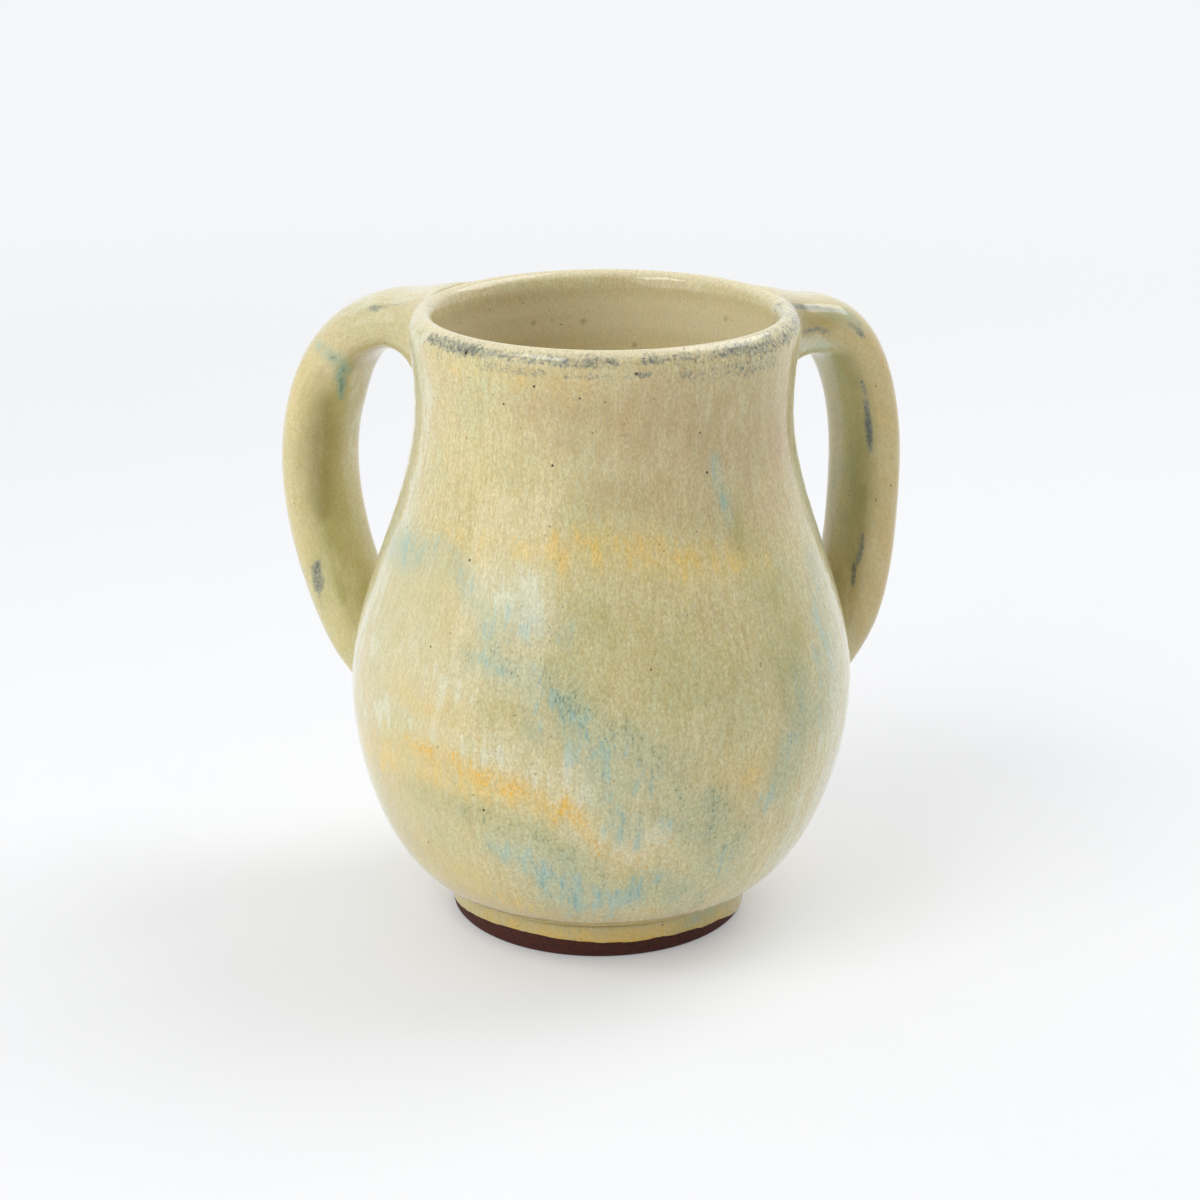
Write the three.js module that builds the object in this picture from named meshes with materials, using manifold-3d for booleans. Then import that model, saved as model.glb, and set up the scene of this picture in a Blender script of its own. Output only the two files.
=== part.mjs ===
// A two-handled hand washing cup in glazed stoneware: a thrown pear-shaped body on a foot ring,
// with two pulled handles luted to its neck and belly. Units are millimetres and +Z is up.
// The cup's axis is the Z axis, and the foot stands on the plane Z = 0.
import * as THREE from 'three';
import { mergeVertices } from 'three/addons/utils/BufferGeometryUtils.js';
import Module from 'manifold-3d';

const wasm = await Module();
wasm.setup();

// Body: heights are measured from the surface that the cup stands on, radii to the outside.
const CUP_HEIGHT = 130;
const LIP_RADIUS = 39.8;
const LIP_THICKNESS = 5.4;
const LIP_ROUND_HEIGHT = 3.5;
const NECK_RADIUS = 38.65;
const NECK_HEIGHT = 111;
const BELLY_RADIUS = 52.3;
const BELLY_HEIGHT = 51;
const BASE_RADIUS = 31.2;
const WALL = 4.4;
const FLOOR_THICKNESS = 5;
const FLOOR_FLAT_RADIUS = 17;

// How far each curve of the profile runs straight on from its end points before it bends.
const BASE_PULL = 12.2;
const BASE_SLOPE = 7.3;
const BELLY_PULL_DOWN = 18.6;
const BELLY_PULL_UP = 20;
const NECK_PULL_DOWN = 21;
const NECK_PULL_UP = 9.3;
const LIP_PULL_DOWN = 3.2;
const FLOOR_PULL = 22;

// Foot ring
const FOOT_HEIGHT = 8;
const FOOT_RADIUS = 31.4;
const FOOT_SEAT_RADIUS = 30.3;
const FOOT_CHAMFER_HEIGHT = 1.4;
const FOOT_TOP_ROUND = 1.2;
const FOOT_SEAT_WIDTH = 4.6;
const FOOT_INSIDE_SLOPE = 1.2;

// Handles: azimuths are degrees anticlockwise from +X. A reach is the distance from the cup's
// axis to the middle of the handle where it stands out furthest. Made by hand, the two differ.
const HANDLE_WIDTH = 18.6;
const LEFT_HANDLE_AZIMUTH = 145;
const LEFT_HANDLE_THICKNESS = 14;
const LEFT_HANDLE_REACH = 69.7;
const LEFT_HANDLE_LOWER_HEIGHT = 52.7;
const LEFT_HANDLE_LOWER_SLOPE = 57;
const RIGHT_HANDLE_AZIMUTH = 19;
const RIGHT_HANDLE_THICKNESS = 12.4;
const RIGHT_HANDLE_REACH = 62.7;
const RIGHT_HANDLE_LOWER_HEIGHT = 56.5;
const RIGHT_HANDLE_LOWER_SLOPE = 63;
const HANDLE_UPPER_DROP = 8.1;
const HANDLE_UPPER_SLOPE = 9.3;
const HANDLE_WIDEST_HEIGHT = 89.3;
const HANDLE_LOWER_CLEARANCE = 0.8;
const SECTION_SQUARENESS = 0.66;

// How far each handle's line runs straight on from its ends and from its widest point, as a
// share of the way out at the upper end, and as a length elsewhere.
const HANDLE_UPPER_PULL = 0.66;
const HANDLE_WIDEST_PULL_UP = 15;
const HANDLE_WIDEST_PULL_DOWN = 15.5;
const HANDLE_LOWER_PULL = 7;

// Fillets: the clay worked in round each end of a handle, from the handle's own section to a
// wider one at the wall. A flare is how much each side gains, a deepening what the depth gains.
const UPPER_FILLET_LENGTH = 9;
const UPPER_FILLET_FLARE = 5.6;
const UPPER_FILLET_DEEPENING = 4;
const UPPER_FILLET_DROP = 1.5;
const LOWER_FILLET_FLARE = 3.3;
const LOWER_FILLET_DEEPENING = 2;
const LOWER_FILLET_BEND = 3.2;
const JOINT_GAP = 0.3;

// Fineness of the facets
const LATHE_SEGMENTS = 60;
const CURVE_DIVISIONS = 7;
const LIP_DIVISIONS = 8;
const HANDLE_STEPS = 30;
const FILLET_STEPS = 8;
const SECTION_SEGMENTS = 6;
const ROUND_DIVISIONS = 4;
const WELD_DISTANCE = 1e-4;

const AXIS = new THREE.Vector3(0, 0, 1);

const glaze = new THREE.MeshStandardMaterial({ color: 0xd2c79b, roughness: 0.2, metalness: 0 });
const handleGlaze = new THREE.MeshStandardMaterial({ color: 0xbdb182, roughness: 0.22, metalness: 0 });
const clay = new THREE.MeshStandardMaterial({ color: 0x5e3526, roughness: 0.85, metalness: 0 });

function point(radius, height) {
  return new THREE.Vector2(radius, height);
}

function bend(...corners) {
  return new THREE.CubicBezierCurve(...corners).getPoints(CURVE_DIVISIONS);
}

// The lip is half an ellipse; grow makes it larger all round by that much.
function lipArc(from, to, grow = 0) {
  const arc = new THREE.EllipseCurve(
    LIP_RADIUS - LIP_THICKNESS / 2,
    CUP_HEIGHT - LIP_ROUND_HEIGHT,
    LIP_THICKNESS / 2 + grow,
    LIP_ROUND_HEIGHT + grow,
    from,
    to,
  );
  return arc.getPoints(LIP_DIVISIONS);
}

// The outside from the edge of the base up to the widest part of the lip.
function outerProfile(grow = 0) {
  const slope = THREE.MathUtils.degToRad(BASE_SLOPE);
  const base = point(BASE_RADIUS + grow, FOOT_HEIGHT);
  const belly = point(BELLY_RADIUS + grow, BELLY_HEIGHT);
  const neck = point(NECK_RADIUS + grow, NECK_HEIGHT);
  const lip = point(LIP_RADIUS + grow, CUP_HEIGHT - LIP_ROUND_HEIGHT);
  return [
    ...bend(
      base,
      point(base.x + BASE_PULL * Math.cos(slope), base.y + BASE_PULL * Math.sin(slope)),
      point(belly.x, belly.y - BELLY_PULL_DOWN),
      belly,
    ),
    ...bend(
      belly,
      point(belly.x, belly.y + BELLY_PULL_UP),
      point(neck.x, neck.y - NECK_PULL_DOWN),
      neck,
    ).slice(1),
    ...bend(
      neck,
      point(neck.x, neck.y + NECK_PULL_UP),
      point(lip.x, lip.y - LIP_PULL_DOWN),
      lip,
    ).slice(1),
  ];
}

// The inside from the lip down to the middle of the floor.
function innerProfile() {
  const floorHeight = FOOT_HEIGHT + FLOOR_THICKNESS;
  const lip = point(LIP_RADIUS - LIP_THICKNESS, CUP_HEIGHT - LIP_ROUND_HEIGHT);
  const neck = point(NECK_RADIUS - WALL, NECK_HEIGHT);
  const belly = point(BELLY_RADIUS - WALL, BELLY_HEIGHT);
  const floor = point(FLOOR_FLAT_RADIUS, floorHeight);
  return [
    lip,
    ...bend(
      neck,
      point(neck.x, neck.y - NECK_PULL_DOWN),
      point(belly.x, belly.y + BELLY_PULL_UP),
      belly,
    ),
    ...bend(
      belly,
      point(belly.x, belly.y - BELLY_PULL_DOWN),
      point(floor.x + FLOOR_PULL, floor.y),
      floor,
    ).slice(1),
    point(0, floorHeight),
  ];
}

// A profile turned about the cup's axis. LatheGeometry turns about Y, so it is stood up.
function turned(profile) {
  return new THREE.LatheGeometry(profile, LATHE_SEGMENTS).rotateX(Math.PI / 2);
}

function toSolid(geometry) {
  const bare = geometry.clone().deleteAttribute('normal').deleteAttribute('uv');
  const merged = mergeVertices(bare, WELD_DISTANCE);
  return new wasm.Manifold(
    new wasm.Mesh({
      numProp: 3,
      vertProperties: new Float32Array(merged.attributes.position.array),
      triVerts: new Uint32Array(merged.index.array),
    }),
  );
}

function toGeometry(solid) {
  const { vertProperties, triVerts } = solid.getMesh();
  const geometry = new THREE.BufferGeometry();
  geometry.setAttribute('position', new THREE.BufferAttribute(vertProperties, 3));
  geometry.setIndex(new THREE.BufferAttribute(triVerts, 1));
  geometry.computeVertexNormals();
  return geometry;
}

// Radius of the outside wall at a height, between the two profile points on either side of it.
function wallRadius(height) {
  const profile = outerProfile();
  const above = profile.findIndex((p) => p.y >= height);
  const [low, high] = [profile[above - 1], profile[above]];
  return THREE.MathUtils.mapLinear(height, low.y, high.y, low.x, high.x);
}

function cupBody() {
  const base = point(0, FOOT_HEIGHT);
  const roundTheLip = lipArc(0, Math.PI).slice(1, -1);
  return turned([base, ...outerProfile(), ...roundTheLip, ...innerProfile()]);
}

// The foot's flat top seats face to face under the body, and its outer edge is rounded there,
// so that a groove runs round the join.
function footRing() {
  const roundCentre = point(FOOT_RADIUS - FOOT_TOP_ROUND, FOOT_HEIGHT - FOOT_TOP_ROUND);
  const topRound = new THREE.EllipseCurve(
    roundCentre.x,
    roundCentre.y,
    FOOT_TOP_ROUND,
    FOOT_TOP_ROUND,
    0,
    Math.PI / 2,
  ).getPoints(ROUND_DIVISIONS);
  const insideRadius = FOOT_SEAT_RADIUS - FOOT_SEAT_WIDTH;
  return turned([
    point(insideRadius, 0),
    point(FOOT_SEAT_RADIUS, 0),
    point(FOOT_RADIUS, FOOT_CHAMFER_HEIGHT),
    ...topRound,
    point(insideRadius - FOOT_INSIDE_SLOPE, FOOT_HEIGHT),
    point(insideRadius, 0),
  ]);
}

// A flattened oval, width along x and thickness along y. The squareness is how far each quarter
// runs straight on from its ends, as a share of the half width and half thickness.
function ovalSection(width, thickness) {
  const [a, b] = [width / 2, thickness / 2];
  const [s, t] = [a * SECTION_SQUARENESS, b * SECTION_SQUARENESS];
  return new THREE.Shape()
    .moveTo(a, 0)
    .bezierCurveTo(a, t, s, b, 0, b)
    .bezierCurveTo(-s, b, -a, t, -a, 0)
    .bezierCurveTo(-a, -t, -s, -b, 0, -b)
    .bezierCurveTo(s, -b, a, -t, a, 0);
}

// The middle line of a handle in the plane Y = 0, from its upper fillet out and down to its
// lower one: two curves that meet where the handle stands out furthest.
function handleLine({ reach, thickness, lowerHeight, lowerSlope }) {
  const along = (radius, height) => new THREE.Vector3(radius, 0, height);
  const downhill = (degrees, length) => {
    const angle = THREE.MathUtils.degToRad(degrees);
    return along(Math.cos(angle), -Math.sin(angle)).multiplyScalar(length);
  };
  const lowerStandoff = (thickness / 2) * Math.sin(THREE.MathUtils.degToRad(lowerSlope));
  const upperEnd = along(LIP_RADIUS + UPPER_FILLET_LENGTH, CUP_HEIGHT - HANDLE_UPPER_DROP);
  const widest = along(reach, HANDLE_WIDEST_HEIGHT);
  const lowerEnd = along(
    wallRadius(lowerHeight) + lowerStandoff + HANDLE_LOWER_CLEARANCE,
    lowerHeight,
  );
  const upperPull = HANDLE_UPPER_PULL * (reach - upperEnd.x);
  const line = new THREE.CurvePath();
  line.add(
    new THREE.CubicBezierCurve3(
      upperEnd,
      upperEnd.clone().add(downhill(HANDLE_UPPER_SLOPE, upperPull)),
      along(widest.x, widest.z + HANDLE_WIDEST_PULL_UP),
      widest,
    ),
  );
  line.add(
    new THREE.CubicBezierCurve3(
      widest,
      along(widest.x, widest.z - HANDLE_WIDEST_PULL_DOWN),
      lowerEnd.clone().sub(downhill(180 - lowerSlope, HANDLE_LOWER_PULL)),
      lowerEnd,
    ),
  );
  return line;
}

function handleStrap(line, thickness) {
  return new THREE.ExtrudeGeometry(ovalSection(HANDLE_WIDTH, thickness), {
    extrudePath: line,
    steps: HANDLE_STEPS,
    curveSegments: SECTION_SEGMENTS,
  });
}

// Everything inside the wall's outer surface, with the joint's gap added. It is cut out of
// each fillet, which is made long enough to reach into it.
function wallCutter() {
  const top = CUP_HEIGHT + 2 * LIP_THICKNESS;
  const outerLip = lipArc(0, Math.PI / 2, JOINT_GAP).slice(1);
  const crest = outerLip[outerLip.length - 1];
  return toSolid(
    turned([
      point(0, FOOT_HEIGHT),
      ...outerProfile(JOINT_GAP),
      ...outerLip,
      point(crest.x, top),
      point(0, top),
    ]),
  );
}

// A fillet starts face to face on the end of the handle and spreads towards the wall. Its
// local z runs from the handle to the wall and its local y towards the outside of the handle
// at the upper end, and towards its inside at the lower one. It reaches its full section
// after its length and its shift grows as the square of the way, to curve it into the wall.
function fillet(thickness, { length, reachIn, flare, deepening, fixedEdge, shift }) {
  const geometry = new THREE.ExtrudeGeometry(ovalSection(HANDLE_WIDTH, thickness), {
    depth: length + reachIn,
    steps: FILLET_STEPS,
    curveSegments: SECTION_SEGMENTS,
    bevelEnabled: false,
  });
  const position = geometry.attributes.position;
  for (let i = 0; i < position.count; i += 1) {
    const way = position.getZ(i) / length;
    const ease = Math.min(way, 1) ** 2;
    const widened = 1 + (2 * flare * ease) / HANDLE_WIDTH;
    const deepened = 1 + (deepening * ease) / thickness;
    position.setX(i, position.getX(i) * widened);
    position.setY(i, fixedEdge - (fixedEdge - position.getY(i)) * deepened + shift * way ** 2);
  }
  return geometry;
}

// The upper fillet keeps its top edge level with the lip and deepens below.
function upperFillet({ thickness }) {
  return fillet(thickness, {
    length: UPPER_FILLET_LENGTH,
    reachIn: WALL,
    flare: UPPER_FILLET_FLARE,
    deepening: UPPER_FILLET_DEEPENING,
    fixedEdge: thickness / 2,
    shift: -UPPER_FILLET_DROP,
  });
}

// The lower fillet runs down the wall as a tail, so it is made as long as its slope needs.
function lowerFillet({ thickness, lowerSlope }) {
  const slope = THREE.MathUtils.degToRad(lowerSlope);
  const standoff = (thickness / 2) * Math.sin(slope) + HANDLE_LOWER_CLEARANCE;
  return fillet(thickness, {
    length: standoff / Math.cos(slope),
    reachIn: thickness,
    flare: LOWER_FILLET_FLARE,
    deepening: LOWER_FILLET_DEEPENING,
    fixedEdge: 0,
    shift: LOWER_FILLET_BEND,
  });
}

// Places a fillet on the start or the end of a handle's line, with the line's own frame.
function seatedFillet(line, atEnd, geometry) {
  const frames = line.computeFrenetFrames(HANDLE_STEPS, false);
  const index = atEnd ? HANDLE_STEPS : 0;
  const across = frames.normals[index];
  const through = frames.binormals[index].clone();
  const outward = frames.tangents[index].clone();
  if (!atEnd) {
    through.negate();
    outward.negate();
  }
  const place = new THREE.Matrix4().makeBasis(across, through, outward);
  place.setPosition(line.getPointAt(atEnd ? 1 : 0));
  return geometry.applyMatrix4(place);
}

function cutByWall(geometry, cutter) {
  return toGeometry(toSolid(geometry).subtract(cutter));
}

function handleWithFillets(side, shape, cutter) {
  const line = handleLine(shape);
  const upper = cutByWall(seatedFillet(line, false, upperFillet(shape)), cutter);
  const lower = cutByWall(seatedFillet(line, true, lowerFillet(shape)), cutter);
  const group = new THREE.Group();
  group.add(
    named(`handle_${side}`, handleStrap(line, shape.thickness), handleGlaze),
    named(`fillet_${side}_upper`, upper, handleGlaze),
    named(`fillet_${side}_lower`, lower, handleGlaze),
  );
  group.setRotationFromAxisAngle(AXIS, THREE.MathUtils.degToRad(shape.azimuth));
  return group;
}

function named(name, geometry, material) {
  const mesh = new THREE.Mesh(geometry, material);
  mesh.name = name;
  return mesh;
}

const leftShape = {
  azimuth: LEFT_HANDLE_AZIMUTH,
  reach: LEFT_HANDLE_REACH,
  thickness: LEFT_HANDLE_THICKNESS,
  lowerHeight: LEFT_HANDLE_LOWER_HEIGHT,
  lowerSlope: LEFT_HANDLE_LOWER_SLOPE,
};
const rightShape = {
  azimuth: RIGHT_HANDLE_AZIMUTH,
  reach: RIGHT_HANDLE_REACH,
  thickness: RIGHT_HANDLE_THICKNESS,
  lowerHeight: RIGHT_HANDLE_LOWER_HEIGHT,
  lowerSlope: RIGHT_HANDLE_LOWER_SLOPE,
};

const cutter = wallCutter();
const cup = new THREE.Group();
cup.add(
  named('cup_body', cupBody(), glaze),
  named('foot_ring', footRing(), clay),
  handleWithFillets('left', leftShape, cutter),
  handleWithFillets('right', rightShape, cutter),
);

export default cup;
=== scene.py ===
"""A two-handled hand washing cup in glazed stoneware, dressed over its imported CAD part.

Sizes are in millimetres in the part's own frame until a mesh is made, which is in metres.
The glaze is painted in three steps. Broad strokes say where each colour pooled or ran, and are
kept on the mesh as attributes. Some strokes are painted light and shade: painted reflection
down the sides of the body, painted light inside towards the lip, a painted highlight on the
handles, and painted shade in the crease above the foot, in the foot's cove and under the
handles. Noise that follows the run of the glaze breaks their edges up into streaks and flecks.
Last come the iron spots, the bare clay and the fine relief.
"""

import bpy
import numpy as np
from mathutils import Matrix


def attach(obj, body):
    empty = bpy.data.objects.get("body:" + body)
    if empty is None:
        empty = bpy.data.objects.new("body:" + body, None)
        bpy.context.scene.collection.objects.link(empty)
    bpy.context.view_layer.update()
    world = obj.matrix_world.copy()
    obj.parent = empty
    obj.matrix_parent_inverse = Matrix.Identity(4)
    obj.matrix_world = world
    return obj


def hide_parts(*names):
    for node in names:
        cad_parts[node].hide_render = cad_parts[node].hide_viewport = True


MM = 0.001

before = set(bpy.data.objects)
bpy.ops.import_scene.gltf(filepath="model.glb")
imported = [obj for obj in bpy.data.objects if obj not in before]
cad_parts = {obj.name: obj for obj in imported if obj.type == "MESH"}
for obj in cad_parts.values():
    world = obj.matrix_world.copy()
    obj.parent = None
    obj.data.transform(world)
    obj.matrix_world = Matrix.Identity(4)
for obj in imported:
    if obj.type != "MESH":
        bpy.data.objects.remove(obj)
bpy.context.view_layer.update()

# The body, measured from the surface that the cup stands on and from the cup's axis
CUP_HEIGHT = 130.0
LIP_RADIUS = 39.8
LIP_THICKNESS = 5.4
LIP_ROUND_HEIGHT = 3.5
LIP_BEVEL = 1.25
NECK_RADIUS = 38.65
NECK_HEIGHT = 111.0
BELLY_RADIUS = 52.3
BELLY_HEIGHT = 51.0
BASE_RADIUS = 31.2
WALL = 4.4
FLOOR_THICKNESS = 5.0
FLOOR_FLAT_RADIUS = 17.0
BASE_PULL = 12.2
BASE_SLOPE = 7.3
BELLY_PULL_DOWN = 18.6
BELLY_PULL_UP = 20.0
NECK_PULL_DOWN = 21.0
NECK_PULL_UP = 9.3
LIP_PULL_DOWN = 3.2
FLOOR_PULL = 22.0
INNER_LIP_PULL = 4.0
LIP_ROUND_FROM = CUP_HEIGHT - LIP_ROUND_HEIGHT
# The last rings of points before the axis, where one face closes the skin
CLOSING_RADIUS = 0.4
# What the hands left: the wall is a little out of round and has faint throwing rings
OUT_OF_ROUND = 0.10
THIRD_WAVE = 0.05
RING_DEPTH = 0.03
RING_PITCH = 4.6

# The foot ring
FOOT_HEIGHT = 8.0
FOOT_RADIUS = 31.4
FOOT_SEAT_RADIUS = 30.3
FOOT_WAIST_HEIGHT = 6.3
FOOT_WAIST_RADIUS = 31.1
FOOT_COVE = 1.7
FOOT_SEAT_WIDTH = 4.6
FOOT_INSIDE_SLOPE = 1.2
# Where the glaze ends and bare clay begins: azimuth and height, all round
CLAY_LINE = [
    (-175, 2.2), (-160, 3.1), (-130, 4.4), (-100, 3.8), (-60, 3.5), (-42, 2.8), (-28, 1.0),
    (-10, 0.3), (20, 1.4), (70, 3.2), (110, 3.6), (150, 2.0), (172, 0.9),
]

# The handles: azimuths are degrees anticlockwise from +X
HANDLE_WIDTH = 18.6
HANDLE_SQUARENESS = 2.5
HANDLE_UPPER_OUT = 48.8
HANDLE_UPPER_HEIGHT = 121.9
HANDLE_UPPER_SLOPE = 9.3
HANDLE_UPPER_PULL = 0.66
HANDLE_UPPER_DROP = 1.5
HANDLE_ROOT_LENGTH = 9.0
HANDLE_WIDEST_HEIGHT = 89.3
HANDLE_WIDEST_PULL_UP = 15.0
HANDLE_WIDEST_PULL_DOWN = 15.5
HANDLE_LOWER_CLEARANCE = 0.8
HANDLE_LOWER_PULL = 7.0
HANDLE_LOWER_BEND = 3.2
HANDLE_ROOT_DEPTH = 24.0
HANDLE_THIN_FROM = 54.0
HANDLE_THIN_FULL = 36.0
HANDLE_SINK = 0.12
HANDLE_PLUG_DEPTH = 0.35 * WALL
# thin is how much the underside thins towards the lip, web how far it spreads down the neck, and
# widest_run how far down the strap the handle reaches furthest out
LEFT_HANDLE = {
    "azimuth": 145,
    "thickness": 14.0,
    "reach": 69.7,
    "height": 52.7,
    "slope": 57,
    "thin": 0.28,
    "web": 20,
    "widest_run": 54.0,
}
RIGHT_HANDLE = {
    "azimuth": 19,
    "thickness": 12.4,
    "reach": 62.7,
    "height": 56.5,
    "slope": 63,
    "thin": 0.0,
    "web": 6,
    "widest_run": 50.6,
}

# How the cup stands: made by hand, it leans a little along this direction as it rises
LEAN_DIRECTION = (0.9925, -0.1219)
LEAN_AT_FOOT = -0.6
LEAN_AT_LIP = 0.8

# Points in each ring of the body and the foot
AROUND = 420

CAMERA_AT = (-0.0658, -0.5360, 0.2515)
CAMERA_HEADING = -6.97
CAMERA_PITCH = 18.81
CAMERA_LENS = 81.82
CAMERA_SENSOR = 36
CAMERA_CLIP_START = 0.01


def bezier(start, start_pull, end_pull, end, steps):
    """Points on the curve that leaves start and comes to end along these pulls."""
    t = np.linspace(0, 1, steps + 1)[:, None]
    a, b, c, d = (np.array(p, float) for p in (start, start_pull, end_pull, end))
    return (1 - t) ** 3 * a + 3 * (1 - t) ** 2 * t * b + 3 * (1 - t) * t**2 * c + t**3 * d


def smooth(value, low, high):
    """0 below low, 1 above high and an even slope between; high may be the lower one."""
    t = np.clip((value - low) / (high - low), 0, 1)
    return t * t * (3 - 2 * t)


def outer_profile():
    """The outside of the wall, from the foot to the crest of the lip, as radius and height."""
    slope = np.radians(BASE_SLOPE)
    base = np.array([BASE_RADIUS, FOOT_HEIGHT])
    base_pull = base + BASE_PULL * np.array([np.cos(slope), np.sin(slope)])
    belly = np.array([BELLY_RADIUS, BELLY_HEIGHT])
    neck = np.array([NECK_RADIUS, NECK_HEIGHT])
    lip = np.array([LIP_RADIUS, LIP_ROUND_FROM])
    curves = [
        bezier(base, base_pull, belly - (0, BELLY_PULL_DOWN), belly, 44),
        bezier(belly, belly + (0, BELLY_PULL_UP), neck - (0, NECK_PULL_DOWN), neck, 52)[1:],
        bezier(neck, neck + (0, NECK_PULL_UP), lip - (0, LIP_PULL_DOWN), lip, 16)[1:],
        lip_arc(0, 90, 8)[1:],
    ]
    return np.vstack(curves)


def lip_arc(start, end, steps):
    """A part of the lip's rounding: 0 degrees is its outside, 90 its crest and 180 its inside."""
    angle = np.radians(np.linspace(start, end, steps + 1))
    middle = LIP_RADIUS - LIP_THICKNESS / 2
    c, s = np.cos(angle), np.sin(angle)
    power = np.where(c > 0, LIP_BEVEL, 1)
    out = np.sign(c) * np.abs(c) ** power
    up = np.abs(s) ** power
    return np.stack([middle + LIP_THICKNESS / 2 * out, LIP_ROUND_FROM + LIP_ROUND_HEIGHT * up], 1)


def inner_profile():
    """The inside of the wall, from the crest of the lip to the middle of the floor."""
    floor_height = FOOT_HEIGHT + FLOOR_THICKNESS
    neck = np.array([NECK_RADIUS - WALL, NECK_HEIGHT])
    belly = np.array([BELLY_RADIUS - WALL, BELLY_HEIGHT])
    lip = np.array([LIP_RADIUS - LIP_THICKNESS, LIP_ROUND_FROM])
    floor = np.array([FLOOR_FLAT_RADIUS, floor_height])
    middle = (CLOSING_RADIUS, floor_height)
    curves = [
        lip_arc(90, 180, 8)[1:],
        bezier(lip, lip - (0, INNER_LIP_PULL), neck + (0, INNER_LIP_PULL), neck, 10)[1:],
        bezier(neck, neck - (0, NECK_PULL_DOWN), belly + (0, BELLY_PULL_UP), belly, 40)[1:],
        bezier(belly, belly - (0, BELLY_PULL_DOWN), floor + (FLOOR_PULL, 0), floor, 36)[1:],
        bezier(floor, (11, floor_height), (6, floor_height), middle, 8)[1:],
    ]
    return np.vstack(curves)


OUTER = outer_profile()


def wall_radius(height):
    return np.interp(height, OUTER[:, 1], OUTER[:, 0])


def around_axis(radius, angle, height):
    """Points at a radius, an angle in radians and a height."""
    return np.stack([radius * np.cos(angle), radius * np.sin(angle), height], -1)


def lean(points):
    """Moves points sideways, the more the higher they are."""
    amount = LEAN_AT_FOOT + (LEAN_AT_LIP - LEAN_AT_FOOT) * points[:, 2] / CUP_HEIGHT
    moved = points.copy()
    moved[:, 0] += amount * LEAN_DIRECTION[0]
    moved[:, 1] += amount * LEAN_DIRECTION[1]
    return moved


def grid_faces(rows, columns):
    """Quads between rows of points, each row closed on itself."""
    i = np.arange(rows - 1)[:, None] * columns
    j = np.arange(columns)[None, :]
    k = (j + 1) % columns
    quads = np.stack([i + j, i + k, i + columns + k, i + columns + j], -1)
    return [tuple(q) for q in quads.reshape(-1, 4).tolist()]


def closed_faces(rows, columns):
    """The quads of a grid, and a face that closes each of its ends."""
    faces = grid_faces(rows, columns)
    faces.append(tuple(reversed(range(columns))))
    faces.append(tuple(range((rows - 1) * columns, rows * columns)))
    return faces


def make_piece(name, points, faces, material, slot, *nodes):
    mesh = bpy.data.meshes.new(name)
    mesh.from_pydata((lean(points) * MM).tolist(), [], faces)
    mesh.validate()
    mesh.polygons.foreach_set("use_smooth", np.ones(len(mesh.polygons), bool))
    mesh.materials.append(material)
    piece = bpy.data.objects.new(name, mesh)
    bpy.context.scene.collection.objects.link(piece)
    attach(piece, "root")
    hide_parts(*nodes)
    return piece


def add_values(piece, **values):
    """Writes one number a point, or one vector a point, to the mesh under each name."""
    for name, value in values.items():
        value = np.asarray(value, np.float32)
        kind, field = ("FLOAT_VECTOR", "vector") if value.ndim == 2 else ("FLOAT", "value")
        attribute = piece.data.attributes.new(name, kind, "POINT")
        attribute.data.foreach_set(field, value.ravel())


# Strokes of glaze, and some of painted reflection and highlight, on the body. Each has a strength and a
# run of points: azimuth, height, half width.
BODY_SCALE = 0.85
OCHRE = [
    (0.7, [(-118, 90, 3), (-104, 91.5, 4), (-90, 91.5, 4), (-76, 90, 4), (-64, 87.5, 3), (-50, 85, 2.5)]),
    (0.4, [(-145, 91, 3), (-130, 90, 4), (-116, 90, 4)]),
    (0.75, [(-172, 43, 2), (-160, 44, 3.5), (-148, 45, 5), (-138, 46, 6), (-128, 45, 5)]),
    (0.7, [(-128, 45, 5), (-118, 43.5, 4), (-110, 42, 3.4), (-103, 40, 2.6), (-96, 33, 2.4)]),
    (0.6, [(-154, 18, 4), (-138, 20, 7), (-126, 17, 5), (-114, 13, 3)]),
    (0.35, [(-78, 48, 5), (-66, 47, 6), (-57, 44, 5)]),
    (0.4, [(-148, 59, 3), (-130, 58, 3)]),
    (0.35, [(-156, 124, 3), (-134, 124, 3), (-104, 123, 3)]),
    (0.25, [(-150, 106, 12), (-126, 104, 12)]),
    (0.4, [(-150, 12, 4), (-112, 12, 4), (-86, 12, 4)]),
]
AMBER = [
    (1.0, [(-150, 47.5, 1.2), (-142, 50, 2), (-134, 49.5, 2.4), (-126, 47.5, 2.6), (-118, 45, 2.8)]),
    (1.0, [(-118, 45, 2.8), (-110, 43.5, 2.4), (-104, 41, 2.2), (-101, 37.5, 1.6), (-96, 31.5, 2)]),
    (1.0, [(-96, 31.5, 2), (-91, 28, 2), (-86, 28.5, 1.2)]),
    (0.7, [(-146, 58, 2), (-134, 57, 2.5), (-124, 54, 2)]),
    (0.7, [(-76, 50, 2), (-68, 46.5, 3), (-58, 45, 3)]),
    (0.6, [(-110, 92.5, 1.6), (-96, 93, 2), (-82, 92.5, 1.8), (-66, 90, 1.4)]),
    (0.5, [(-90, 35, 3), (-78, 31, 3), (-66, 38, 4)]),
]
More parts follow.
